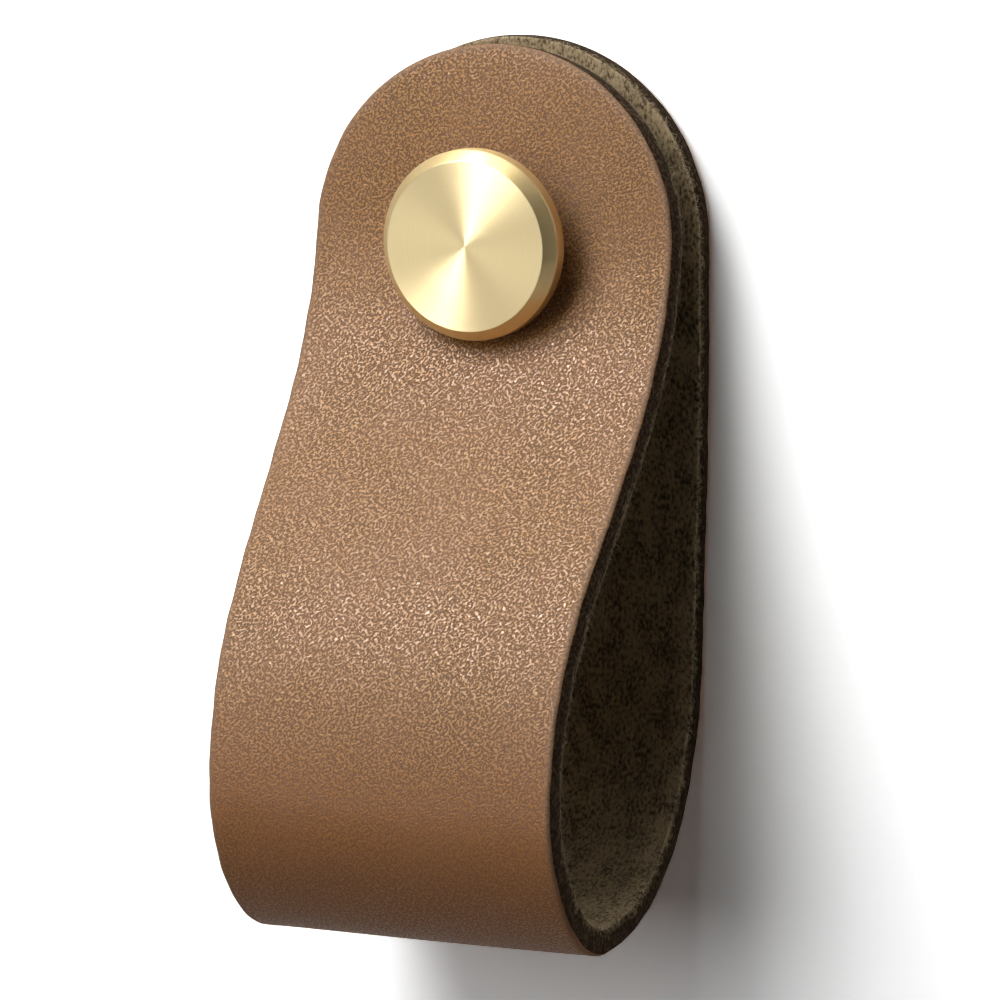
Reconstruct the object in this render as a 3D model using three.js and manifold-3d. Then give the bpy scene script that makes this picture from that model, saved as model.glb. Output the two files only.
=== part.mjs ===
// A leather strap pull for a door or drawer: one strip of leather folded into a loop, with a turned brass
// button in front and a screw from behind the door. Millimetres, +Z up, +Y into the door, +X to the right.
// The origin is on the screw's axis, at the door's face.

import * as THREE from 'three';
import { mergeVertices } from 'three/addons/utils/BufferGeometryUtils.js';
import Module from 'manifold-3d';

// Strap, as it is cut from the hide
const leatherThickness = 2.2;
const strapWidth = 30;
const waistInset = 0.8; // how far each side pulls in on the way to the fold
const waistStart = 6; // along the strap, from a hole to where the waist begins
const waistEnd = 42; // and to where it is complete
const grainEdgeRadius = 0.5;
const fleshEdgeRadius = 0.2;

// Fold, measured on the strap's outer side, from the door's face and down from the screw
const flatDrop = 30.9; // the back leg lies flat on the door down to here
const foldDrop = 52.3; // lowest point of the fold
const foldReach = 18.1;
const bellyDrop = 39.9; // foremost point of the fold
const bellyReach = 28.3;
const legGap = 3; // clear space between the two legs at their holes
const tipGap = 1.4; // and at their tips
const holeLean = 0.15; // how much the front leg leans, as a slope, at its hole
const tipLean = 0.29; // and at its tip

// How far each curve of the fold keeps its direction, as a share of its own span
const liftShare = 0.72;
const underShare = 0.47;
const noseShare = 0.54;
const chinShare = 0.45;
const bellyShare = 0.43;
const holeShare = 0.42;
const neckShare = 0.25;
const tipShare = 0.33;

// Button
const headDiameter = 14.6;
const headSide = 1.4; // straight side of the head, behind the chamfer
const headChamfer = 0.85;
const headBackBreak = 0.15;
const neckDiameter = 7;
const neckEndBreak = 0.4;
const boreMouthBreak = 0.4;
const threadEngagement = 4.5;
const boreRunout = 1;
const drillPointLength = 1.2;

// Screw
const screwDiameter = 4;
const screwHeadDiameter = 8;
const screwHeadHeight = 3.1;
const screwHeadSide = 1.2;
const screwTipBreak = 0.5;
const recessWidth = 4.2;
const recessSlot = 1.1;
const recessDepth = 2.2;
const recessFloorDiameter = 1.4;
const panelThickness = 18; // the door that the pull is made for

// Clearances
const fitGap = 0.3; // round a piece in its hole
const seatGap = 0.2; // between pieces that rest on each other

// Fineness of the facets
const flatStep = 3.4;
const curvedStep = 1.5;
const arcSteps = 12;
const edgeSteps = 3;
const roundSegments = 64;
const domeSteps = 7;

// Derived places
const endRadius = strapWidth / 2;
const headRadius = headDiameter / 2;
const neckRadius = neckDiameter / 2;
const screwRadius = screwDiameter / 2;
const frontLegReach = 2 * leatherThickness + legGap;
const frontTipReach = 2 * leatherThickness + tipGap;
const neckEnd = -(leatherThickness + seatGap);
const screwTip = neckEnd - threadEngagement;
const boreEnd = screwTip - boreRunout;

const wasm = await Module();
wasm.setup();

function toSolid(geometry) {
  const bare = geometry.clone();
  bare.deleteAttribute('normal');
  bare.deleteAttribute('uv');
  const merged = mergeVertices(bare);
  return new wasm.Manifold(new wasm.Mesh({
    numProp: 3,
    vertProperties: merged.getAttribute('position').array,
    triVerts: new Uint32Array(merged.getIndex().array),
  }));
}

function toGeometry(solid) {
  const mesh = solid.getMesh();
  const geometry = new THREE.BufferGeometry();
  geometry.setAttribute('position', new THREE.BufferAttribute(mesh.vertProperties, 3));
  geometry.setIndex(new THREE.BufferAttribute(mesh.triVerts, 1));
  geometry.computeVertexNormals();
  return geometry;
}

// A cylinder along Y between two places on that axis.
function rodAlongY(radius, from, to) {
  const rod = new THREE.CylinderGeometry(radius, radius, to - from, roundSegments);
  rod.translate(0, (from + to) / 2, 0);
  return rod;
}

// A body turned about Y from a profile of [radius, place along Y], which starts and ends on the axis.
function turned(profile) {
  return new THREE.LatheGeometry(profile.map(([radius, y]) => new THREE.Vector2(radius, y)), roundSegments);
}

// The fold: the strap's outer side in the YZ plane, from the back tip down the door, round the fold and up
// the front leg to its tip. Each curve starts and ends in a direction that its neighbour shares.
function placeAt(reach, drop) {
  return new THREE.Vector2(-reach, -drop);
}

function curveBetween(start, startHandle, endHandle, end) {
  return new THREE.CubicBezierCurve(start, start.clone().add(startHandle), end.clone().sub(endHandle), end);
}

const liftOff = placeAt(0, flatDrop);
const lowest = placeAt(foldReach, foldDrop);
const foremost = placeAt(bellyReach, bellyDrop);
const frontHole = placeAt(frontLegReach, 0);
const frontTip = placeAt(frontTipReach, -endRadius);
const down = new THREE.Vector2(0, -1);
const forward = new THREE.Vector2(-1, 0);
const up = new THREE.Vector2(0, 1);
const upAtHole = new THREE.Vector2(holeLean, 1).normalize();
const upAtTip = new THREE.Vector2(tipLean, 1).normalize();

const foldCurves = {
  back: new THREE.LineCurve(placeAt(0, -endRadius), liftOff),
  under: curveBetween(
    liftOff, down.clone().multiplyScalar(liftShare * (foldDrop - flatDrop)),
    forward.clone().multiplyScalar(underShare * foldReach), lowest,
  ),
  nose: curveBetween(
    lowest, forward.clone().multiplyScalar(noseShare * (bellyReach - foldReach)),
    up.clone().multiplyScalar(chinShare * (foldDrop - bellyDrop)), foremost,
  ),
  front: curveBetween(
    foremost, up.clone().multiplyScalar(bellyShare * bellyDrop),
    upAtHole.clone().multiplyScalar(holeShare * bellyDrop), frontHole,
  ),
  tip: curveBetween(
    frontHole, upAtHole.clone().multiplyScalar(neckShare * endRadius),
    upAtTip.clone().multiplyScalar(tipShare * endRadius), frontTip,
  ),
};

const fold = new THREE.CurvePath();
Object.values(foldCurves).forEach((curve) => fold.add(curve));

// Distances along the strap run from the back hole, at 0, to the front hole, at this length.
const holeSpacing = fold.getLength() - endRadius - foldCurves.tip.getLength();

// A point of the strap: across it, along it from the back hole, and below its outer side.
function strapPoint(across, along, depth) {
  const share = Math.min((along + endRadius) / fold.getLength(), 1);
  const point = fold.getPoint(share);
  const tangent = fold.getTangent(share);
  return [across, point.x + tangent.y * depth, point.y - tangent.x * depth];
}

function smoothShare(value) {
  const share = THREE.MathUtils.clamp(value, 0, 1);
  return share * share * (3 - 2 * share);
}

function halfWidthAt(along) {
  const fromHole = Math.min(along, holeSpacing - along);
  return endRadius - waistInset * smoothShare((fromHole - waistStart) / (waistEnd - waistStart));
}

// Stations between the two holes, wider apart where the strap lies flat.
function strapStations() {
  const flatCount = Math.ceil(flatDrop / flatStep);
  const curvedCount = Math.ceil((holeSpacing - flatDrop) / curvedStep);
  const flat = Array.from({ length: flatCount }, (_, i) => (flatDrop * i) / flatCount);
  const curved = Array.from(
    { length: curvedCount + 1 },
    (_, i) => flatDrop + ((holeSpacing - flatDrop) * i) / curvedCount,
  );
  return [...flat, ...curved];
}

// The cut edge in section, as [inset from the outline, depth below the outer side].
function edgeSection() {
  const quarter = Array.from({ length: edgeSteps + 1 }, (_, i) => (Math.PI / 2) * (i / edgeSteps));
  const grainSide = quarter.map((angle) => [
    grainEdgeRadius * (1 - Math.sin(angle)),
    grainEdgeRadius * (1 - Math.cos(angle)),
  ]);
  const fleshSide = quarter.map((angle) => [
    fleshEdgeRadius * (1 - Math.cos(angle)),
    leatherThickness - fleshEdgeRadius * (1 - Math.sin(angle)),
  ]);
  return [...grainSide, ...fleshSide];
}

// The outline of the cut strip at an inset, as [across, along] from the back tip up its right side to the
// front tip and down its left side again.
function strapOutline(inset, stations) {
  const radius = endRadius - inset;
  const angles = Array.from({ length: arcSteps }, (_, i) => (Math.PI / 2) * (i / arcSteps));
  const arc = angles.map((angle) => [radius * Math.cos(angle), radius * Math.sin(angle)]);
  const backEnd = angles.map((angle) => [radius * Math.sin(angle), -radius * Math.cos(angle)]);
  const side = stations.map((along) => [halfWidthAt(along) - inset, along]);
  const frontEnd = arc.slice(1).map(([across, beyond]) => [across, holeSpacing + beyond]);
  const rightSide = [...backEnd, ...side, ...frontEnd];
  const leftSide = rightSide.slice(1).reverse().map(([across, along]) => [-across, along]);
  return [...rightSide, [0, holeSpacing + radius], ...leftSide];
}

function strapGeometry() {
  const stations = strapStations();
  const loops = edgeSection().map(([inset, depth]) => (
    strapOutline(inset, stations).map(([across, along]) => strapPoint(across, along, depth))
  ));
  const count = loops[0].length;
  const corners = [];
  const addQuad = (a, b, c, d) => corners.push(a, b, c, a, c, d);

  for (let loop = 0; loop < loops.length - 1; loop++) {
    for (let i = 0; i < count; i++) {
      const next = (i + 1) % count;
      addQuad(loops[loop][i], loops[loop + 1][i], loops[loop + 1][next], loops[loop][next]);
    }
  }

  // Both faces are strips straight across the strap, from its right side to its left.
  const grain = loops[0];
  const flesh = loops[loops.length - 1];
  for (let i = 0; i < count / 2; i++) {
    const left = (count - i) % count;
    const nextLeft = count - i - 1;
    addQuad(grain[i], grain[i + 1], grain[nextLeft], grain[left]);
    addQuad(flesh[i], flesh[left], flesh[nextLeft], flesh[i + 1]);
  }

  const geometry = new THREE.BufferGeometry();
  geometry.setAttribute('position', new THREE.Float32BufferAttribute(corners.flat(), 3));
  return geometry;
}

function strap() {
  const betweenLegs = -frontLegReach / 2;
  const screwHole = rodAlongY(screwRadius + fitGap, betweenLegs, leatherThickness);
  const neckHole = rodAlongY(neckRadius + fitGap, -bellyReach, betweenLegs);
  const solid = toSolid(strapGeometry()).subtract(toSolid(screwHole)).subtract(toSolid(neckHole));
  const leather = new THREE.MeshStandardMaterial({ color: 0x9c6238, roughness: 0.55, metalness: 0 });
  const mesh = new THREE.Mesh(toGeometry(solid), leather);
  mesh.name = 'strap';
  return mesh;
}

// How far in front of the door the front leg's outer side is, at a drop below the screw.
function frontReachAt(drop) {
  let low = 0;
  let high = 1;
  for (let i = 0; i < 40; i++) {
    const middle = (low + high) / 2;
    if (foldCurves.front.getPoint(middle).y < -drop) low = middle;
    else high = middle;
  }
  return -foldCurves.front.getPoint(low).x;
}

// The button's head rests on the leather with the lowest point of its rim. Its neck passes through the
// front leg and clamps the back leg to the door.
function button() {
  const headBack = -(frontReachAt(headRadius) + seatGap);
  const headFace = headBack - headSide - headChamfer;
  const boreRadius = screwRadius + fitGap;
  const geometry = turned([
    [0, headFace],
    [headRadius - headChamfer, headFace],
    [headRadius, headFace + headChamfer],
    [headRadius, headBack - headBackBreak],
    [headRadius - headBackBreak, headBack],
    [neckRadius, headBack],
    [neckRadius, neckEnd - neckEndBreak],
    [neckRadius - neckEndBreak, neckEnd],
    [boreRadius + boreMouthBreak, neckEnd],
    [boreRadius, neckEnd - boreMouthBreak],
    [boreRadius, boreEnd],
    [0, boreEnd - drillPointLength],
  ]);
  const brass = new THREE.MeshStandardMaterial({ color: 0xd9b868, roughness: 0.28, metalness: 1 });
  const mesh = new THREE.Mesh(geometry, brass);
  mesh.name = 'button';
  return mesh;
}

// The cross recess in the screw's head, whose wings taper towards its floor.
function crossRecess(top) {
  const floor = top - recessDepth;
  const middle = (top + floor) / 2;
  const wings = [[recessWidth, recessSlot], [recessSlot, recessWidth]].map(([x, z]) => {
    const wing = new THREE.BoxGeometry(x, recessDepth, z);
    wing.translate(0, middle, 0);
    return toSolid(wing);
  });
  const taper = new THREE.CylinderGeometry(recessWidth / 2, recessFloorDiameter / 2, recessDepth, roundSegments);
  taper.translate(0, middle, 0);
  return wings[0].add(wings[1]).intersect(toSolid(taper));
}

function machineScrew() {
  const headTop = panelThickness + screwHeadHeight;
  const domeStart = panelThickness + screwHeadSide;
  const headRadiusBehind = screwHeadDiameter / 2;
  const dome = Array.from({ length: domeSteps }, (_, i) => {
    const angle = (Math.PI / 2) * (i / domeSteps);
    return [headRadiusBehind * Math.cos(angle), domeStart + (headTop - domeStart) * Math.sin(angle)];
  });
  const body = turned([
    [0, screwTip],
    [screwRadius - screwTipBreak, screwTip],
    [screwRadius, screwTip + screwTipBreak],
    [screwRadius, panelThickness],
    [headRadiusBehind, panelThickness],
    ...dome,
    [0, headTop],
  ]);
  const steel = new THREE.MeshStandardMaterial({ color: 0xb9bcc0, roughness: 0.35, metalness: 1 });
  const mesh = new THREE.Mesh(toGeometry(toSolid(body).subtract(crossRecess(headTop))), steel);
  mesh.name = 'machine_screw';
  return mesh;
}

const pull = new THREE.Group();
pull.add(strap(), button(), machineScrew());

export default pull;
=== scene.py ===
import math

import bmesh
import bpy
import numpy as np
from mathutils import Matrix, Vector


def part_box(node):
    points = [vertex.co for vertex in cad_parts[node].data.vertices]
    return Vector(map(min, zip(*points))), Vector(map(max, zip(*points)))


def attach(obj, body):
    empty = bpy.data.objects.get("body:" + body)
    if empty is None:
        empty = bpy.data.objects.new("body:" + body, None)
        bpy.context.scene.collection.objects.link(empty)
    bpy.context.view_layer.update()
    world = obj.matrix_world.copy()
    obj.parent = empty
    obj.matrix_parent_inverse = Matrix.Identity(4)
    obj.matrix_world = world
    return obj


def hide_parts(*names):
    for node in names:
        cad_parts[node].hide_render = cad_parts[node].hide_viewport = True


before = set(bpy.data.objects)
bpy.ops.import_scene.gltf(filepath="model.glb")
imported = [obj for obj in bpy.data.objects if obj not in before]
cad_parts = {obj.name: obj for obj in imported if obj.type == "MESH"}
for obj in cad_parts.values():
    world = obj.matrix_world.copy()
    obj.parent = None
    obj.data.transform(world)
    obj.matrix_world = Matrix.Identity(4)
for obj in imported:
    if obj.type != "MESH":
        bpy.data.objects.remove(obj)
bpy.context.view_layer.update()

MM = 0.001


# The strap: one strip of vegetable-tanned leather with a fine embossed pebble grain, cut with round ends
# and a hole near each. Its grain side is outwards, its flesh side is raw suede, and its raw cut edges are
# painted near black as painted shade. It is folded into a loop, and both ends are held by the button and its
# screw.

_, strap_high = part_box("strap")
END_RADIUS = strap_high.x
LEATHER_THICKNESS = 2.2 * MM
WAIST_INSET = 0.8 * MM
WAIST_START = 6 * MM
WAIST_END = 42 * MM
GRAIN_EDGE_RADIUS = 0.38 * MM
FLESH_EDGE_RADIUS = 0.2 * MM
EDGE_BULGE = 0.07 * MM
CUT_WOBBLE = 0.035 * MM
SURFACE_WAVE = 0.03 * MM
FRONT_HOLE_RADIUS = 3.8 * MM
BACK_HOLE_RADIUS = 2.3 * MM
CURVE_STEPS = 600


def curve_between(start, start_handle, end_handle, end):
    """Points of a cubic curve in the YZ plane: (1-t)^3 of its start, 3t(1-t)^2 and 3t^2(1-t) of the two
    handles, which are given from their own ends, and t^3 of its end."""
    start, end = np.array(start), np.array(end)
    t = np.linspace(0, 1, CURVE_STEPS, endpoint=False)[:, None]
    early = start + np.array(start_handle)
    late = end - np.array(end_handle)
    return start * (1 - t) ** 3 + 3 * early * t * (1 - t) ** 2 + 3 * late * t**2 * (1 - t) + end * t**3


# The fold, in mm of (Y, Z), on the grain side: up the door, round the fold and up the front leg.
BACK_TIP = (0, 15)
LIFT_OFF = (0, -30.9)
LOWEST = (-18.1, -52.3)
FOREMOST = (-28.3, -39.9)
FRONT_HOLE = (-7.4, 0)
FRONT_TIP = (-5.8, 15)
up_at_hole = np.array((0.15, 1)) / math.hypot(0.15, 1)
up_at_tip = np.array((0.29, 1)) / math.hypot(0.29, 1)
tip_curve = curve_between(FRONT_HOLE, up_at_hole * 3.75, up_at_tip * 4.95, FRONT_TIP)
fold_path = MM * np.concatenate([
    curve_between(BACK_TIP, (0, -15.3), (0, -15.3), LIFT_OFF),
    curve_between(LIFT_OFF, (0, -15.408), (-8.507, 0), LOWEST),
    curve_between(LOWEST, (-5.508, 0), (0, 5.58), FOREMOST),
    curve_between(FOREMOST, (0, 17.157), up_at_hole * 16.758, FRONT_HOLE),
    tip_curve,
    [FRONT_TIP],
])
step_lengths = np.linalg.norm(np.diff(fold_path, axis=0), axis=1)
path_lengths = np.concatenate([[0], np.cumsum(step_lengths)])
path_tangents = np.gradient(fold_path, path_lengths, axis=0)
tip_length = step_lengths[-len(tip_curve):].sum()
HOLE_SPACING = path_lengths[-1] - END_RADIUS - tip_length
lift_off, foremost = path_lengths[[CURVE_STEPS, 3 * CURVE_STEPS]] - END_RADIUS


def on_strap(across, along, depth):
    """Where a place on the flat strip lies when it is folded: the point of the fold at that length, moved
    along X by the distance across and square to the fold by the depth below the grain side."""
    length = along + END_RADIUS
    y, z = (np.interp(length, path_lengths, fold_path[:, i]) for i in (0, 1))
    ty, tz = (np.interp(length, path_lengths, path_tangents[:, i]) for i in (0, 1))
    size = np.hypot(ty, tz)
    return np.stack([across + 0 * y, y + tz / size * depth, z - ty / size * depth], axis=-1)


def smooth(value):
    """0 below 0, 1 above 1, and 3v^2 - 2v^3 between."""
    share = np.clip(value, 0, 1)
    return share * share * (3 - 2 * share)


def half_width(along):
    """The round end's radius, less the waist, which grows smoothly with the distance from a hole."""
    from_hole = np.minimum(along, HOLE_SPACING - along)
    return END_RADIUS - WAIST_INSET * smooth((from_hole - WAIST_START) / (WAIST_END - WAIST_START))


def from_edge(across, along):
    """Distance in from the cut outline: the half width less the distance from the strip's middle line."""
    beyond = np.maximum(0, np.maximum(-along, along - HOLE_SPACING))
    return half_width(np.clip(along, 0, HOLE_SPACING)) - np.hypot(across, beyond)


def edge_section(steps):
    """The cut edge as [inset, depth], from the grain side to the flesh side: a quarter circle, a wall that
    swells by a sine and a smaller quarter circle."""
    turn = np.linspace(0, np.pi / 2, steps)
    grain = np.stack([1 - np.sin(turn), 1 - np.cos(turn)], axis=-1) * GRAIN_EDGE_RADIUS
    rise = np.linspace(0, 1, steps + 2)[1:-1]
    wall_depth = GRAIN_EDGE_RADIUS + rise * (LEATHER_THICKNESS - GRAIN_EDGE_RADIUS - FLESH_EDGE_RADIUS)
    wall = np.stack([-EDGE_BULGE * np.sin(rise * np.pi), wall_depth], axis=-1)
    inset = FLESH_EDGE_RADIUS * (1 - np.cos(turn))
    depth = LEATHER_THICKNESS - FLESH_EDGE_RADIUS * (1 - np.sin(turn))
    return np.concatenate([grain, wall, np.stack([inset, depth], axis=-1)])


def wavy(along, seed, wave_lengths):
    """A sum of sines of those wave lengths with phases drawn from the seed, between about -1 and 1."""
    phases = np.random.default_rng(seed).uniform(0, 2 * np.pi, len(wave_lengths))
    waves = [np.sin(2 * np.pi * along / length + phase) for length, phase in zip(wave_lengths, phases)]
    return sum(waves) / len(wave_lengths) ** 0.5


def closed_mesh(name, points, corner_uvs=None, materials=(), material_of=None):
    """A mesh from a grid of points, rows by columns, whose columns close into a ring. Doubled points are
    merged, which closes the poles, and the faces are turned outwards."""
    rows, columns = points.shape[:2]
    index = np.arange(rows * columns).reshape(rows, columns)
    after = np.roll(index, -1, axis=1)
    quads = np.stack([index[:-1], after[:-1], after[1:], index[1:]], axis=-1).reshape(-1, 4)
    mesh = bpy.data.meshes.new(name)
    mesh.from_pydata(points.reshape(-1, 3).tolist(), [], quads.tolist())
    for layer, values in (corner_uvs or {}).items():
        uv = mesh.uv_layers.new(name=layer)
        uv.data.foreach_set("uv", values.reshape(-1, 2)[quads.ravel()].ravel().astype(np.float32))
    for material in materials:
        mesh.materials.append(material)
    if material_of is not None:
        mesh.polygons.foreach_set("material_index", np.tile(material_of, rows - 1).astype(np.int32))
    tidy = bmesh.new()
    tidy.from_mesh(mesh)
    bmesh.ops.remove_doubles(tidy, verts=tidy.verts, dist=1e-7)
    bmesh.ops.recalc_face_normals(tidy, faces=tidy.faces)
    tidy.to_mesh(mesh)
    tidy.free()
    mesh.shade_smooth()
    return mesh


def placed(name, data):
    """A new object in the scene, which shows that mesh, lamp or camera."""
    item = bpy.data.objects.new(name, data)
    bpy.context.scene.collection.objects.link(item)
    return item


def add(tree, kind, inputs, **settings):
    """A node with those settings. Each input, by name or number, gets a value or another node's socket."""
    node = tree.nodes.new("ShaderNode" + kind)
    for name, setting in settings.items():
        setattr(node, name, setting)
    for key, value in inputs.items():
        if isinstance(value, bpy.types.NodeSocket):
            tree.links.new(value, node.inputs[key])
        else:
            node.inputs[key].default_value = value
    return node


def maths(tree, operation, *values):
    """The result of one Math node."""
    return add(tree, "Math", dict(enumerate(values)), operation=operation).outputs[0]


def spread(tree, value, low, high, to_low=0.0, to_high=1.0):
    """The value carried smoothly from low..high to to_low..to_high, and held beyond them."""
    inputs = {"Value": value, "From Min": low, "From Max": high, "To Min": to_low, "To Max": to_high}
    return add(tree, "MapRange", inputs, interpolation_type="SMOOTHSTEP").outputs[0]


def noise(tree, place, scale, detail=2.0, roughness=0.5, dimensions="3D"):
    """The value of a noise texture: about 0.5, and mostly between 0.3 and 0.7."""
    inputs = {"Vector": place, "Scale": scale, "Detail": detail, "Roughness": roughness}
    return add(tree, "TexNoise", inputs, noise_dimensions=dimensions).outputs[0]


def blend(tree, share, first, second, how="MIX"):
    """Two colours mixed by a share."""
    return add(tree, "MixRGB", {0: share, 1: first, 2: second}, blend_type=how).outputs[0]


def finish_named(name):
    """A new material, its node tree and its Principled shader."""
    material = bpy.data.materials.new(name)
    material.use_nodes = True
    return material, material.node_tree, material.node_tree.nodes["Principled BSDF"]


def flat_strip(tree, lie=0.0, length=1.0, width=1.0):
    """Millimetres on the flat strip, for a pattern whose marks lie at that angle to the strip's width and
    are that much longer and wider."""
    uv = add(tree, "UVMap", {}, uv_map="flat_strip").outputs[0]
    inputs = {"Vector": uv, "Rotation": (0, 0, lie), "Scale": (MM * length, MM * width, 1)}
    return add(tree, "Mapping", inputs, vector_type="TEXTURE").outputs[0]


TAN = (0.43, 0.197, 0.042, 1)
# Painted shade: the colour of the grain's valleys.
TAN_VALLEY_SHADED = (0.150, 0.060, 0.006, 1)
TAN_RUBBED = (0.19, 0.098, 0.042, 1)
TAN_PATCH = (0.30, 0.128, 0.048, 1)
FOLD_SHADE = (0.82, 0.62, 0.28, 1)
PEBBLE = 0.34
GRAIN_LIE = math.radians(48)
GRAIN_DEPTH = 0.045 * MM

grain, tree, shader = finish_named("tan_grain_leather")
strip = flat_strip(tree, lie=GRAIN_LIE, length=1.15, width=0.85)
drift = add(tree, "TexNoise", {"Vector": strip, "Scale": 1.9, "Detail": 2.0}, noise_dimensions="2D")
bent = add(tree, "VectorMath", {0: drift.outputs["Color"], 1: (0.28, 0.28, 0)}, operation="MULTIPLY")
warped = add(tree, "VectorMath", {0: strip, 1: bent.outputs[0]}, operation="ADD").outputs[0]
cells = add(tree, "TexVoronoi", {"Vector": warped, "Scale": 1 / PEBBLE, "Randomness": 1.0},
            voronoi_dimensions="2D", feature="DISTANCE_TO_EDGE").outputs[0]
pebbles = spread(tree, cells, 0.0, 0.24)
ripple = spread(tree, noise(tree, warped, 5.0, detail=1.0, dimensions="2D"), 0.455, 0.62)
relief = maths(tree, "MULTIPLY", maths(tree, "MULTIPLY_ADD", pebbles, 0.3, 0.7), ripple)
uv = add(tree, "UVMap", {}, uv_map="flat_strip").outputs[0]

# Where the leather is pulled round the fold, its grain is flatter, and its colour is made darker and more
# orange there as painted shade.
up_strip = add(tree, "SeparateXYZ", {0: uv}).outputs[1]
fold_starts = spread(tree, up_strip, lift_off, lift_off + 8 * MM)
fold_ends = spread(tree, up_strip, foremost - 6 * MM, foremost + 11 * MM, 1.0, 0.0)
stretched_and_shaded = maths(tree, "MULTIPLY", fold_ends, fold_starts)
to_flat = maths(tree, "MULTIPLY", stretched_and_shaded, maths(tree, "SUBTRACT", 0.55, relief))
relief = maths(tree, "MULTIPLY_ADD", to_flat, 0.55, relief)
edge_distance = add(tree, "Attribute", {}, attribute_name="from_edge").outputs["Fac"]
worn = spread(tree, edge_distance, 0.15 * MM, 0.8 * MM, 1.0, 0.0)
patches = spread(tree, noise(tree, strip, 0.12, detail=3.0, dimensions="2D"), 0.35, 0.65)
# Painted shade: the grain's valleys get a darker colour than its ridges.
colour = blend(tree, spread(tree, relief, 0.0, 0.8), TAN_VALLEY_SHADED, TAN)
colour = blend(tree, maths(tree, "MULTIPLY", patches, 0.22), colour, TAN_PATCH)
# Painted shade: round the fold the colour is multiplied darker and more orange.
colour = blend(tree, stretched_and_shaded, colour, FOLD_SHADE, how="MULTIPLY")
colour = blend(tree, maths(tree, "MULTIPLY", worn, 0.6), colour, TAN_RUBBED)
height = maths(tree, "MULTIPLY", relief, maths(tree, "MULTIPLY_ADD", worn, -0.8, 1.0))
bump = add(tree, "Bump", {"Strength": 1.0, "Distance": GRAIN_DEPTH, "Height": height})
tree.links.new(colour, shader.inputs["Base Color"])
tree.links.new(bump.outputs[0], shader.inputs["Normal"])
tree.links.new(spread(tree, height, 0.0, 1.0, 0.80, 0.28), shader.inputs["Roughness"])
shader.inputs["Specular IOR Level"].default_value = 0.62

# The cut edge: painted near black, which is painted shade; tufts of the raw edge's own khaki show towards the
# flesh side.
EDGE_SHADE_DARK = (0.028, 0.015, 0.007, 1)
EDGE_SHADE_LIGHT = (0.090, 0.056, 0.030, 1)
RAW_DARK = (0.070, 0.048, 0.024, 1)
RAW_LIGHT = (0.24, 0.185, 0.10, 1)

shaded_edge, tree, shader = finish_named("shaded_cut_edge")
place = add(tree, "TexCoord", {}).outputs["Object"]
fuzz = noise(tree, place, 3200.0, detail=4.0)
depth = add(tree, "SeparateXYZ", {0: add(tree, "UVMap", {}, uv_map="depth").outputs[0]}).outputs[0]
tufts = maths(tree, "MULTIPLY_ADD", noise(tree, place, 850.0), 0.8, maths(tree, "MULTIPLY", fuzz, 0.5))
raw_share = spread(tree, maths(tree, "ADD", tufts, depth), 1.25, 1.65)
colour = blend(tree, spread(tree, fuzz, 0.4, 0.7), EDGE_SHADE_DARK, EDGE_SHADE_LIGHT)
raw = blend(tree, spread(tree, fuzz, 0.35, 0.65), RAW_DARK, RAW_LIGHT)
colour = blend(tree, raw_share, colour, raw)
bump = add(tree, "Bump", {"Strength": 0.8, "Distance": 0.08 * MM, "Height": fuzz})
tree.links.new(colour, shader.inputs["Base Color"])
tree.links.new(bump.outputs[0], shader.inputs["Normal"])
shader.inputs["Roughness"].default_value = 0.9
shader.inputs["Specular IOR Level"].default_value = 0.06

SUEDE_DARK = (0.072, 0.045, 0.025, 1)
SUEDE_LIGHT = (0.47, 0.355, 0.21, 1)
SUEDE_SHEEN = (0.75, 0.65, 0.42, 1)

suede, tree, shader = finish_named("raw_flesh_side")
strip = flat_strip(tree, lie=math.radians(90), length=1.8)
nap = noise(tree, strip, 4.2, detail=5.0, roughness=0.65, dimensions="2D")
blotch = noise(tree, strip, 0.7, detail=3.0, dimensions="2D")
shade = maths(tree, "MULTIPLY_ADD", nap, 0.7, maths(tree, "MULTIPLY", blotch, 0.3))
colour = blend(tree, spread(tree, shade, 0.34, 0.60), SUEDE_DARK, SUEDE_LIGHT)
bump = add(tree, "Bump", {"Strength": 1.0, "Distance": 0.22 * MM, "Height": shade})
tree.links.new(colour, shader.inputs["Base Color"])
tree.links.new(bump.outputs[0], shader.inputs["Normal"])
shader.inputs["Roughness"].default_value = 0.95
shader.inputs["Specular IOR Level"].default_value = 0.05
shader.inputs["Sheen Weight"].default_value = 0.25
shader.inputs["Sheen Roughness"].default_value = 0.5
shader.inputs["Sheen Tint"].default_value = SUEDE_SHEEN

ARC_ROWS = 44
SIDE_ROWS = 250
GRAIN_COLUMNS = 60
FLESH_COLUMNS = 30
EDGE_STEPS = 7
# The near-black edge colour, painted shade, starts this many columns into the cut edge.
DARK_EDGE_FROM = 4

turn = np.linspace(0, np.pi / 2, ARC_ROWS)
row_share = np.concatenate([np.sin(turn), np.ones(SIDE_ROWS - 2), np.cos(turn)])
row_beyond = np.concatenate([-np.cos(turn), np.zeros(SIDE_ROWS - 2), np.sin(turn)])
side_along = np.linspace(0, HOLE_SPACING, SIDE_ROWS)
row_along = np.concatenate([np.zeros(ARC_ROWS), side_along[1:-1], np.full(ARC_ROWS, HOLE_SPACING)])
cut = edge_section(EDGE_STEPS)
grain_share = np.linspace(1, -1, GRAIN_COLUMNS + 1)[:-1]
flesh_share = np.linspace(-1, 1, FLESH_COLUMNS + 1)[:-1]
ring_share = np.concatenate([grain_share, np.full(len(cut) - 1, -1), flesh_share, np.ones(len(cut) - 1)])
grain_inset = np.full(GRAIN_COLUMNS, GRAIN_EDGE_RADIUS)
flesh_inset = np.full(FLESH_COLUMNS, FLESH_EDGE_RADIUS)
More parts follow.
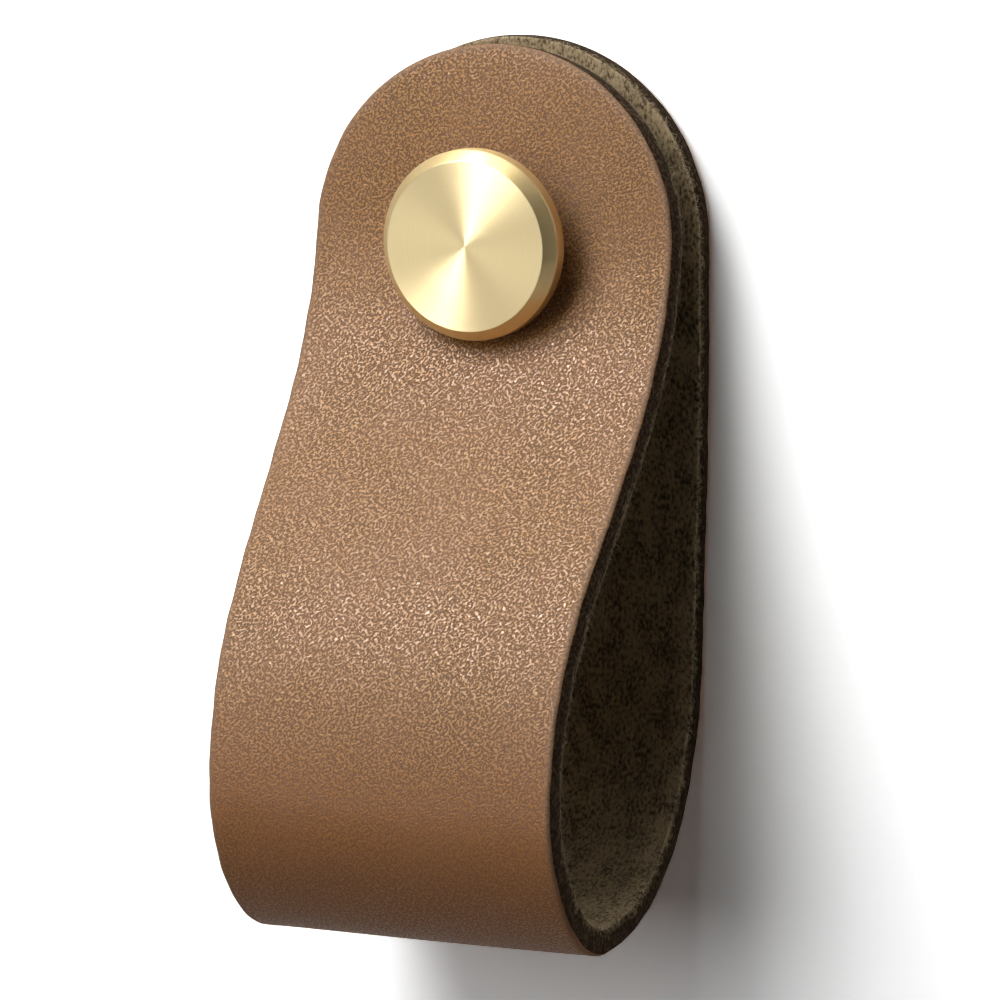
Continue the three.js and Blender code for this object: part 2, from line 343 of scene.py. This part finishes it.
flesh_depth = np.full(FLESH_COLUMNS, LEATHER_THICKNESS)
ring_inset = np.concatenate([grain_inset, cut[:-1, 0], flesh_inset, cut[:0:-1, 0]])
ring_depth = np.concatenate([np.zeros(GRAIN_COLUMNS), cut[:-1, 1], flesh_depth, cut[:0:-1, 1]])


def strip_grid(inset, share):
    """Places across and along the flat strip, for every row and every column of its ring: on the straight
    part the half width less the inset, times the column's share, and on a round end a circle of that size."""
    reach = half_width(row_along)[:, None] - inset[None, :]
    return reach * row_share[:, None] * share[None, :], row_along[:, None] + reach * row_beyond[:, None]


outline_position = row_along + END_RADIUS * row_beyond
wobble = [wavy(outline_position, seed, (17 * MM, 9.3 * MM, 5.1 * MM, 2.9 * MM)) for seed in (3, 4)]
side_wobble = np.where(ring_share > 0, wobble[0][:, None], wobble[1][:, None]) * np.abs(ring_share) ** 6
across, along = strip_grid(ring_inset, ring_share)
across = across * (1 + CUT_WOBBLE / END_RADIUS * side_wobble)
wave = wavy(along + 0.4 * across, 5, (23 * MM, 13 * MM, 31 * MM)) * SURFACE_WAVE
sunk = np.broadcast_to(ring_depth, across.shape) + wave * smooth(from_edge(across, along) / (4 * MM))
depth_share = np.broadcast_to(ring_depth / LEATHER_THICKNESS, across.shape)
depth_uv = np.stack([depth_share, 0 * depth_share], axis=-1)
is_edge = np.zeros(len(ring_share), int)
first_edge = GRAIN_COLUMNS
second_edge = GRAIN_COLUMNS + len(cut) - 1 + FLESH_COLUMNS
is_edge[first_edge + DARK_EDGE_FROM:first_edge + len(cut) - EDGE_STEPS] = 1
is_edge[first_edge + len(cut) - EDGE_STEPS:second_edge + EDGE_STEPS - 1] = 2
is_edge[second_edge + EDGE_STEPS - 1:second_edge + len(cut) - 1 - DARK_EDGE_FROM] = 1
strap_mesh = closed_mesh(
    "strap_leather", on_strap(across, along, sunk),
    {"flat_strip": np.stack([across, along], axis=-1), "depth": depth_uv},
    (grain, shaded_edge, suede), is_edge,
)
strap = placed("strap_leather", strap_mesh)


def cut_away(piece, name, mesh, material_mode="INDEX"):
    """Takes a closed mesh out of the piece. The mode says how the walls that it leaves get a material."""
    cutter = placed(name, mesh)
    cutting = piece.modifiers.new(name, "BOOLEAN")
    cutting.operation = "DIFFERENCE"
    cutting.solver = "EXACT"
    cutting.material_mode = material_mode
    cutting.object = cutter
    graph = bpy.context.evaluated_depsgraph_get()
    cut_mesh = bpy.data.meshes.new_from_object(piece.evaluated_get(graph))
    piece.modifiers.clear()
    piece.data = cut_mesh
    bpy.data.objects.remove(cutter)


def punch(piece, radius, start, end, segments=96):
    """Cuts a round hole along Y through the piece, from start to end. Its wall has the cut edge's near-black
    colour, which is painted shade.
    """
    turn = np.linspace(0, 2 * np.pi, segments, endpoint=False)
    rim = np.stack([radius * np.cos(turn), 0 * turn, radius * np.sin(turn)], axis=-1)
    rows = np.stack([0 * rim, rim, rim, 0 * rim])
    rows[:2, :, 1] = start
    rows[2:, :, 1] = end
    cut_away(piece, "punch", closed_mesh("punch", rows, materials=(shaded_edge,)), "TRANSFER")


between_legs = (FRONT_HOLE[0] * MM) / 2
punch(strap, FRONT_HOLE_RADIUS, -20 * MM, between_legs)
punch(strap, BACK_HOLE_RADIUS, between_legs, 5 * MM)
strap.data.name = "strap_leather"
strap.data.set_sharp_from_angle(angle=math.radians(50))

strap_points = np.zeros(len(strap.data.loops) * 2, np.float32)
strap.data.uv_layers["flat_strip"].data.foreach_get("uv", strap_points)
corner_vertex = np.zeros(len(strap.data.loops), np.int32)
strap.data.loops.foreach_get("vertex_index", corner_vertex)
vertex_uv = np.zeros((len(strap.data.vertices), 2))
vertex_uv[corner_vertex] = strap_points.reshape(-1, 2)
edge_attribute = strap.data.attributes.new("from_edge", "FLOAT", "POINT")
edge_attribute.data.foreach_set("value", from_edge(vertex_uv[:, 0], vertex_uv[:, 1]).astype(np.float32))

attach(strap, "root")
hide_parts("strap")


# The fibres: loose ends of the hide's flesh side, which stand out along the strap's cut edges and lie
# about on the suede. They are part of the leather.

FIBRE_COUNT = 2600
FIBRE_RINGS = 4
FIBRE_SIDES = 3
SHORTEST, LONGEST = 0.12 * MM, 0.8 * MM
THINNEST, THICKEST = 0.012 * MM, 0.034 * MM
STANDS_OUT = 0.22 * MM
STANDS_UP = 0.35 * MM
FIBRE_DARK = (0.26, 0.20, 0.11, 1)
FIBRE_LIGHT = (0.62, 0.52, 0.33, 1)

draw = np.random.default_rng(11)
fibre, tree, shader = finish_named("flesh_fibre")
tone = noise(tree, add(tree, "TexCoord", {}).outputs["Object"], 900.0)
colour = blend(tree, spread(tree, tone, 0.35, 0.65), FIBRE_DARK, FIBRE_LIGHT)
tree.links.new(colour, shader.inputs["Base Color"])
shader.inputs["Roughness"].default_value = 0.8
shader.inputs["Sheen Weight"].default_value = 0.3

# Roots go round the flesh-side corner: [across, along] of the outline at a place of its half length.
half_outline = np.pi / 2 * END_RADIUS * 2 + HOLE_SPACING
place = draw.uniform(0, half_outline, FIBRE_COUNT)
side = draw.choice([-1, 1], FIBRE_COUNT)
arc = np.pi / 2 * END_RADIUS
angle_back = np.clip(place / END_RADIUS, 0, np.pi / 2)
angle_front = np.clip((place - arc - HOLE_SPACING) / END_RADIUS, 0, np.pi / 2)
root_along = np.clip(place - arc, 0, HOLE_SPACING)
out_across = np.where(place < arc, np.sin(angle_back), np.cos(angle_front)) * side
out_along = np.where(place < arc, -np.cos(angle_back), np.sin(angle_front))
inward = draw.exponential(0.12 * MM, FIBRE_COUNT)
reach = half_width(root_along) - inward
rise = draw.uniform(0.0, 0.35 * MM, FIBRE_COUNT)
root = np.stack([out_across * reach, root_along + out_along * reach, LEATHER_THICKNESS - rise], axis=-1)
root[:, 2] = np.minimum(root[:, 2], LEATHER_THICKNESS)
lean = draw.normal(0, 1, (FIBRE_COUNT, 3)) * (0.9, 0.9, 0.35)
outwards = np.stack([out_across, out_along, np.full(FIBRE_COUNT, 0.35)], axis=-1)
heading = lean + outwards * draw.uniform(0.1, 0.9, FIBRE_COUNT)[:, None]
heading /= np.linalg.norm(heading, axis=1, keepdims=True)
fibre_length = draw.gamma(3.0, 0.12 * MM, FIBRE_COUNT).clip(SHORTEST, LONGEST)
fibre_radius = draw.uniform(THINNEST, THICKEST, FIBRE_COUNT)
curl = draw.normal(0, 0.35, (FIBRE_COUNT, 3)) * fibre_length[:, None]


def fibre_points(t):
    """A fibre's middle line on the flat strip: root + heading * length * t + curl * t^2."""
    t = t[None, :, None]
    straight = heading[:, None, :] * fibre_length[:, None, None] * t
    return root[:, None, :] + straight + curl[:, None, :] * t**2


steps = np.linspace(0, 1, FIBRE_RINGS)
line = fibre_points(steps)
outside = np.clip(-from_edge(line[..., 0], line[..., 1]) - STANDS_OUT, 0, None)
line[..., 0] -= outside * out_across[:, None]
line[..., 1] -= outside * out_along[:, None]
line[..., 2] = np.clip(line[..., 2], 0.6 * MM, LEATHER_THICKNESS + STANDS_UP)
line = on_strap(line[..., 0], line[..., 1], line[..., 2])
ahead = line[:, -1] - line[:, 0]
ahead /= np.linalg.norm(ahead, axis=1, keepdims=True)
side_one = np.cross(ahead, (0.31, 0.54, 0.78))
side_one /= np.linalg.norm(side_one, axis=1, keepdims=True)
side_two = np.cross(ahead, side_one)
round_turn = np.linspace(0, 2 * np.pi, FIBRE_SIDES, endpoint=False)[None, :, None]
ring = side_one[:, None] * np.cos(round_turn) + side_two[:, None] * np.sin(round_turn)
taper = np.sqrt(1 - steps * 0.97)
tube = line[:, :, None, :] + ring[:, None] * (fibre_radius[:, None] * taper[None, :])[:, :, None, None]
base = np.arange(FIBRE_COUNT)[:, None, None] * FIBRE_RINGS * FIBRE_SIDES
ring_base = base + np.arange(FIBRE_RINGS - 1)[None, :, None] * FIBRE_SIDES
corner = np.arange(FIBRE_SIDES)
near, near_next = ring_base + corner, ring_base + np.roll(corner, -1)
walls = np.stack([near, near_next, near_next + FIBRE_SIDES, near + FIBRE_SIDES], axis=-1).reshape(-1, 4)
last_ring = base[:, 0] + (FIBRE_RINGS - 1) * FIBRE_SIDES
caps = np.concatenate([base[:, 0] + corner[::-1], last_ring + corner])
fibre_mesh = bpy.data.meshes.new("strap_fibres")
fibre_mesh.from_pydata(tube.reshape(-1, 3).tolist(), [], walls.tolist() + caps.tolist())
fibre_mesh.shade_smooth()
fibre_mesh.materials.append(fibre)
fibres = placed("strap_fibres", fibre_mesh)
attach(fibres, "root")


# The button: turned from solid brass, with a flat face that shows the lathe's circles, a polished chamfer
# and a neck that passes through the strap's front leg. It is threaded from behind and screws onto the screw.

button_low, button_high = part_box("button")
HEAD_RADIUS = button_high.x
HEAD_FACE = button_low.y
NECK_END = button_high.y
CHAMFER_IN = 0.80 * MM
CHAMFER_BACK = 0.95 * MM
HEAD_BACK = HEAD_FACE + 2.25 * MM
NECK_RADIUS = 3.5 * MM
BORE_RADIUS = 2.3 * MM
BORE_END = -7.9 * MM
DRILL_POINT = 1.2 * MM
ROUND_SEGMENTS = 256


def rounded_profile(corners, radii, steps=5):
    """The corners as [radius, place along Y], each rounded by a quadratic curve that leaves its two sides
    at the given distance: (1-t)^2 before + 2t(1-t) corner + t^2 after."""
    corners = np.array(corners)
    t = np.linspace(0, 1, steps)[:, None]
    pieces = [corners[:1]]
    for before, corner, after, radius in zip(corners, corners[1:], corners[2:], radii):
        back = corner + (before - corner) / np.linalg.norm(before - corner) * radius
        on = corner + (after - corner) / np.linalg.norm(after - corner) * radius
        pieces.append(back * (1 - t) ** 2 + 2 * corner * t * (1 - t) + on * t**2)
    return np.concatenate(pieces + [corners[-1:]])


def turned(name, profile, materials):
    """A mesh turned about the Y axis: each point of the profile carried round a circle of its radius."""
    turn = np.linspace(0, 2 * np.pi, ROUND_SEGMENTS, endpoint=False)
    radius, place = profile[:, 0, None], profile[:, 1, None]
    points = np.stack([radius * np.cos(turn), place + 0 * turn, radius * np.sin(turn)], axis=-1)
    mesh = closed_mesh(name, points, materials=materials)
    mesh.set_sharp_from_angle(angle=math.radians(40))
    return placed(name, mesh)


def round_y(tree, place):
    """The part of a place that is square to the Y axis, and its direction, for marks that run in circles."""
    radial = add(tree, "VectorMath", {0: place, 1: (1, 0, 1)}, operation="MULTIPLY").outputs[0]
    return radial, add(tree, "VectorMath", {0: radial}, operation="NORMALIZE").outputs[0]


BRASS_GROOVE = (0.80, 0.64, 0.34, 1)
BRASS_RIDGE = (0.87, 0.71, 0.41, 1)
CHAMFER_DARK = (0.78, 0.58, 0.27, 1)
CHAMFER_LIGHT = (0.84, 0.64, 0.32, 1)


brass, tree, shader = finish_named("turned_brass")
radial, outward = round_y(tree, add(tree, "TexCoord", {}).outputs["Object"])
radius = add(tree, "VectorMath", {0: radial}, operation="LENGTH").outputs["Value"]
circle = add(tree, "CombineXYZ", {"X": maths(tree, "MULTIPLY", radius, 1000.0)}).outputs[0]
grooves = noise(tree, circle, 14.0, detail=3.0, roughness=0.7)
bump = add(tree, "Bump", {"Strength": 0.25, "Distance": 0.002 * MM, "Height": grooves})
colour = blend(tree, spread(tree, grooves, 0.3, 0.7), BRASS_GROOVE, BRASS_RIDGE)
tree.links.new(colour, shader.inputs["Base Color"])
tree.links.new(bump.outputs[0], shader.inputs["Normal"])
tree.links.new(outward, shader.inputs["Tangent"])
shader.inputs["Metallic"].default_value = 1.0
shader.inputs["Roughness"].default_value = 0.42
shader.inputs["Anisotropic"].default_value = 0.86
shader.inputs["Anisotropic Rotation"].default_value = 0.041

polished, tree, shader = finish_named("polished_brass")
place = add(tree, "TexCoord", {}).outputs["Object"]
colour = blend(tree, noise(tree, place, 2600.0), CHAMFER_DARK, CHAMFER_LIGHT)
_, outward = round_y(tree, place)
tree.links.new(colour, shader.inputs["Base Color"])
tree.links.new(outward, shader.inputs["Tangent"])
shader.inputs["Metallic"].default_value = 1.0
shader.inputs["Roughness"].default_value = 0.34
shader.inputs["Anisotropic"].default_value = 0.7

button = turned("brass_button", rounded_profile([
    (0, HEAD_FACE),
    (HEAD_RADIUS - CHAMFER_IN, HEAD_FACE),
    (HEAD_RADIUS, HEAD_FACE + CHAMFER_BACK),
    (HEAD_RADIUS, HEAD_BACK),
    (NECK_RADIUS, HEAD_BACK),
    (NECK_RADIUS, NECK_END),
    (BORE_RADIUS, NECK_END),
    (BORE_RADIUS, BORE_END),
    (0, BORE_END - DRILL_POINT),
], [0.05 * MM, 0.07 * MM, 0.15 * MM, 0.2 * MM, 0.3 * MM, 0.3 * MM, 0.1 * MM]), (brass, polished))
face_centres = np.zeros(len(button.data.polygons) * 3, np.float32)
button.data.polygons.foreach_get("center", face_centres)
beside_face = (face_centres.reshape(-1, 3)[:, 1] > HEAD_FACE + 0.02 * MM).astype(np.int32)
button.data.polygons.foreach_set("material_index", beside_face)
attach(button, "root")
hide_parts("button")


# The machine screw: zinc-plated steel, with a domed head and a cross recess. It comes through the door
# from inside, through the strap's back leg and into the button.

screw_low, screw_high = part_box("machine_screw")
SCREW_HEAD_RADIUS = screw_high.x
SCREW_RADIUS = 2.0 * MM
SCREW_TIP = screw_low.y
HEAD_TOP = screw_high.y
UNDER_HEAD = HEAD_TOP - 3.1 * MM
DOME_START = UNDER_HEAD + 1.2 * MM
THREAD_PITCH = 0.7 * MM
THREAD_DEPTH = 0.38 * MM
RECESS_WIDTH = 4.2 * MM
RECESS_SLOT = 1.1 * MM
RECESS_DEPTH = 2.2 * MM
RECESS_FLOOR = 1.4 * MM

PLUG_RADIUS = SCREW_RADIUS * 0.8
PLUG_END = UNDER_HEAD - 0.5 * MM
HEAD_BEVEL = 0.1 * MM
TIP_BEVEL = 0.5 * MM
THREAD_ROWS = 288
THREAD_COLUMNS = 48
ZINC_DARK = (0.52, 0.53, 0.55, 1)
ZINC_LIGHT = (0.66, 0.66, 0.66, 1)

steel, tree, shader = finish_named("zinc_plated_steel")
place = add(tree, "TexCoord", {}).outputs["Object"]
spangle = noise(tree, place, 1500.0, detail=4.0)
colour = blend(tree, spangle, ZINC_DARK, ZINC_LIGHT)
bump = add(tree, "Bump", {"Strength": 0.3, "Distance": 0.004 * MM, "Height": spangle})
tree.links.new(colour, shader.inputs["Base Color"])
tree.links.new(bump.outputs[0], shader.inputs["Normal"])
tree.links.new(spread(tree, spangle, 0.3, 0.7, 0.28, 0.42), shader.inputs["Roughness"])
shader.inputs["Metallic"].default_value = 1.0

dome_turn = np.linspace(0, np.pi / 2, 24)[:-1]
dome_height = HEAD_TOP - DOME_START
dome = [(SCREW_HEAD_RADIUS * math.cos(a), DOME_START + dome_height * math.sin(a)) for a in dome_turn]
screw = turned("screw", np.array([
    (0, PLUG_END),
    (PLUG_RADIUS, PLUG_END),
    (PLUG_RADIUS, UNDER_HEAD),
    (SCREW_HEAD_RADIUS - HEAD_BEVEL, UNDER_HEAD),
    (SCREW_HEAD_RADIUS, UNDER_HEAD + HEAD_BEVEL),
    *dome,
    (0, HEAD_TOP),
]), (steel,))


def wing(across, upwards):
    """One wing of the cross recess: a bar that tapers from the head's top to the recess's floor."""
    share = np.array([[-1, -1], [1, -1], [1, 1], [-1, 1]]) / 2
    taper = np.array([0, RECESS_FLOOR / RECESS_WIDTH, 1.25, 0])
    place = HEAD_TOP + np.array([-RECESS_DEPTH, -RECESS_DEPTH, 1.0 * MM, 1.0 * MM])
    size = np.array([max(across, RECESS_SLOT), max(upwards, RECESS_SLOT)])
    rows = []
    for scale, y in zip(taper, place):
        spans = [span * (scale if span > RECESS_SLOT else min(scale * 9, 1)) for span in size]
        rows.append(np.stack([share[:, 0] * spans[0], np.full(4, y), share[:, 1] * spans[1]], axis=-1))
    return closed_mesh("wing", np.stack(rows))


for spans in ((RECESS_WIDTH, RECESS_SLOT), (RECESS_SLOT, RECESS_WIDTH)):
    cut_away(screw, "wing", wing(*spans))


def thread_points():
    """The shank with its thread: round Y at each turn and height, the radius less the thread's depth times a
    triangle wave of the height less the turn's share of one pitch. It fades in over the first pitch at the
    tip, and the rows at both ends draw in to the axis."""
    heights = np.linspace(SCREW_TIP, UNDER_HEAD - 0.02 * MM, THREAD_ROWS)
    turn = np.linspace(0, 2 * np.pi, THREAD_COLUMNS, endpoint=False)
    heights = heights[:, None]
    phase = (heights / THREAD_PITCH - turn[None, :] / (2 * np.pi)) % 1
    notch = 1 - np.abs(2 * phase - 1)
    radius = SCREW_RADIUS - THREAD_DEPTH * (1 - smooth(notch * 1.15))
    radius = np.minimum(radius, SCREW_RADIUS - TIP_BEVEL + (heights - SCREW_TIP))
    points = np.stack([radius * np.cos(turn), heights + 0 * turn, radius * np.sin(turn)], axis=-1)
    first = points[:1] * (0, 1, 0)
    last = points[-1:] * (0, 1, 0)
    return np.concatenate([first, points, last])


shank = placed("screw_thread", closed_mesh("screw_thread", thread_points(), materials=(steel,)))
shank.data.set_sharp_from_angle(angle=math.radians(35))
screw.name = "screw_head"
screw.data.name = "screw_head"
screw.data.set_sharp_from_angle(angle=math.radians(35))
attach(screw, "root")
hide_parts("machine_screw")
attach(shank, "root")


# The studio: the white door front that the pull is fixed to, a pale floor well below it, soft lights above
# the camera, a wide panel on the left that gives no highlight, and cards that give nothing but gloss on
# the leather and the brass. The room is dark in front of the door and white for what is seen past it.

WALL_GAP = 0.3 * MM
WALL_SIZE = 0.6
FLOOR_SIZE = 3.0
FLOOR_HEIGHT = -0.5
LIT_POINT = Vector((0, -0.012, -0.018))
MIRRORED_WHITE = (0.95, 0.95, 0.95, 1)


def plain_sheet(name, size, matrix, material):
    """A square sheet of that size, facing along its own +Z before the matrix places it."""
    half = size / 2
    mesh = bpy.data.meshes.new(name)
    corners = [(-half, -half, 0), (half, -half, 0), (half, half, 0), (-half, half, 0)]
    mesh.from_pydata(corners, [], [(0, 1, 2, 3)])
    mesh.transform(matrix)
    mesh.materials.append(material)
    sheet = placed(name, mesh)


def one_sided_white(name, plain_colour, seen_colour, seen_glow=0.0, mirrored_glow=0.0):
    """White paint that is clear from behind and for shadows. Its plain colour lights the pull; the camera
    sees another one, mirrors see near white, and a glow stands in where the lamps hardly reach."""
    material = bpy.data.materials.new(name)
    material.use_nodes = True
    tree = material.node_tree
    tree.nodes.clear()
    rays = add(tree, "LightPath", {}).outputs
    mirrored = maths(tree, "MAXIMUM", rays["Is Glossy Ray"], rays["Is Transmission Ray"])
    colour = blend(tree, mirrored, plain_colour, MIRRORED_WHITE)
    colour = blend(tree, rays["Is Camera Ray"], colour, seen_colour)
    paint = add(tree, "BsdfDiffuse", {"Color": colour}).outputs[0]
    seen = maths(tree, "MAXIMUM", rays["Is Camera Ray"], rays["Is Transmission Ray"])
    glow = maths(tree, "MULTIPLY", rays["Is Glossy Ray"], mirrored_glow)
    glow = maths(tree, "MULTIPLY_ADD", seen, seen_glow, glow)
    glow = add(tree, "Emission", {"Color": (1, 1, 1, 1), "Strength": glow}).outputs[0]
    paint = add(tree, "AddShader", {0: paint, 1: glow}).outputs[0]
    clear = add(tree, "BsdfTransparent", {}).outputs[0]
    behind = add(tree, "NewGeometry", {}).outputs["Backfacing"]
    behind = maths(tree, "MAXIMUM", behind, rays["Is Shadow Ray"])
    surface = add(tree, "MixShader", {0: behind, 1: paint, 2: clear}).outputs[0]
    add(tree, "OutputMaterial", {"Surface": surface})
    return material


wall_paint = one_sided_white("door_paint", (0.7, 0.7, 0.7, 1), (1.75, 1.75, 1.75, 1))
floor_paint = one_sided_white("floor_paint", (0.3, 0.3, 0.3, 1), (1.0, 1.0, 1.0, 1), 0.80, 0.10)
against_door = Matrix.Translation((0, WALL_GAP, 0)) @ Matrix.Rotation(math.pi / 2, 4, "X")
plain_sheet("door_front", WALL_SIZE, against_door, wall_paint)
plain_sheet("floor", FLOOR_SIZE, Matrix.Translation((0, 0, FLOOR_HEIGHT)), floor_paint)


def soft_light(name, direction, distance, size, strength, mirrored=True, lights=True):
    """A rectangular lamp that looks at the pull from that direction and distance, with its strength as
    brightness. One that isn't mirrored lights without a highlight, and one that doesn't light gives only
    the gloss."""
    lamp = bpy.data.lights.new(name, "AREA")
    lamp.shape = "RECTANGLE"
    lamp.size, lamp.size_y = size
    lamp.energy = strength * math.pi * size[0] * size[1]
    aim = Vector(direction).normalized()
    light = placed(name, lamp)
    light.location = LIT_POINT + aim * distance
    light.rotation_mode = "QUATERNION"
    light.rotation_quaternion = aim.to_track_quat("Z", "Y")
    light.visible_camera = False
    light.visible_glossy = mirrored
    light.visible_diffuse = lights


soft_light("overhead_light", (-0.19, -0.71, 0.68), 0.45, (0.14, 0.30), 8.0)
soft_light("overhead_card", (-0.19, -0.71, 0.68), 0.45, (0.14, 0.30), 17.0, lights=False)
soft_light("upper_left_light", (-0.39, -0.50, 0.77), 0.45, (0.06, 0.27), 16.0)
soft_light("upper_left_card", (-0.40, -0.54, 0.73), 0.44, (0.06, 0.32), 24.0, lights=False)
soft_light("top_light", (0.05, -0.46, 0.88), 0.4, (0.07, 0.10), 8.5)
soft_light("left_panel", (-0.41, -0.90, 0.14), 0.8, (0.46, 0.36), 2.1, mirrored=False)
soft_light("button_card", (-0.417, -0.909, -0.017), 0.12, (0.14, 0.045), 1.5, lights=False)
soft_light("back_light", (0.2, 0.75, 0.80), 0.7, (0.5, 0.5), 2.1)

TO_WINDOW = (-0.72, -0.3, 0.62)
TO_FRONT = (-0.42, -0.90, -0.12)
BLACK_ROOM = (0.03, 0.03, 0.03, 1)
DARK_SIDE = (0.08, 0.08, 0.08, 1)
WINDOW_SIDE = (0.40, 0.40, 0.40, 1)
FRONT_SIDE = (0.13, 0.13, 0.13, 1)
WHITE = (1, 1, 1, 1)

world = bpy.data.worlds.new("studio")
bpy.context.scene.world = world
world.use_nodes = True
tree = world.node_tree
tree.nodes.clear()
rays = add(tree, "LightPath", {}).outputs
direction = add(tree, "TexCoord", {}).outputs["Generated"]
windowness = add(tree, "VectorMath", {0: direction, 1: TO_WINDOW}, operation="DOT_PRODUCT").outputs["Value"]
frontness = add(tree, "VectorMath", {0: direction, 1: TO_FRONT}, operation="DOT_PRODUCT").outputs["Value"]
mirrored = blend(tree, spread(tree, windowness, -0.2, 0.9), DARK_SIDE, WINDOW_SIDE)
mirrored = blend(tree, spread(tree, frontness, 0.45, 0.95), mirrored, FRONT_SIDE)
behind_door = add(tree, "SeparateXYZ", {0: direction}).outputs[1]
mirrored = blend(tree, spread(tree, behind_door, 0.0, 0.3), mirrored, WHITE)
room_colour = blend(tree, rays["Is Glossy Ray"], BLACK_ROOM, mirrored)
room = add(tree, "Background", {"Color": room_colour, "Strength": 1.0}).outputs[0]
backdrop = add(tree, "Background", {"Color": WHITE, "Strength": 1.0}).outputs[0]
seen = maths(tree, "MAXIMUM", rays["Is Camera Ray"], rays["Is Transmission Ray"])
mixed = add(tree, "MixShader", {0: seen, 1: room, 2: backdrop}).outputs[0]
add(tree, "OutputWorld", {"Surface": mixed})


# The camera: to the right of the pull and a little above it, with a long lens.

YAW = 0.441234
PITCH = 0.163779
ROLL = -0.009089
CAMERA_DISTANCE = 0.550
SENSOR_WIDTH = 36
FOCAL_LENGTH = 254.4
CAMERA_TARGET = Vector((-2.963, 0, -21.451)) * MM

back = Vector((math.sin(YAW) * math.cos(PITCH), -math.cos(YAW) * math.cos(PITCH), math.sin(PITCH)))
level = Vector((math.cos(YAW), math.sin(YAW), 0))
upright = back.cross(level)
rolled_level = level * math.cos(ROLL) + upright * math.sin(ROLL)
rolled_upright = upright * math.cos(ROLL) - level * math.sin(ROLL)
lens = bpy.data.cameras.new("camera")
lens.sensor_width = SENSOR_WIDTH
lens.lens = FOCAL_LENGTH
lens.clip_start = 0.01
camera = placed("camera", lens)
turned_to_pull = Matrix((rolled_level, rolled_upright, back)).transposed().to_4x4()
camera.matrix_world = Matrix.Translation(CAMERA_TARGET + back * CAMERA_DISTANCE) @ turned_to_pull
bpy.context.scene.camera = camera
bpy.context.scene.view_settings.view_transform = "Standard"
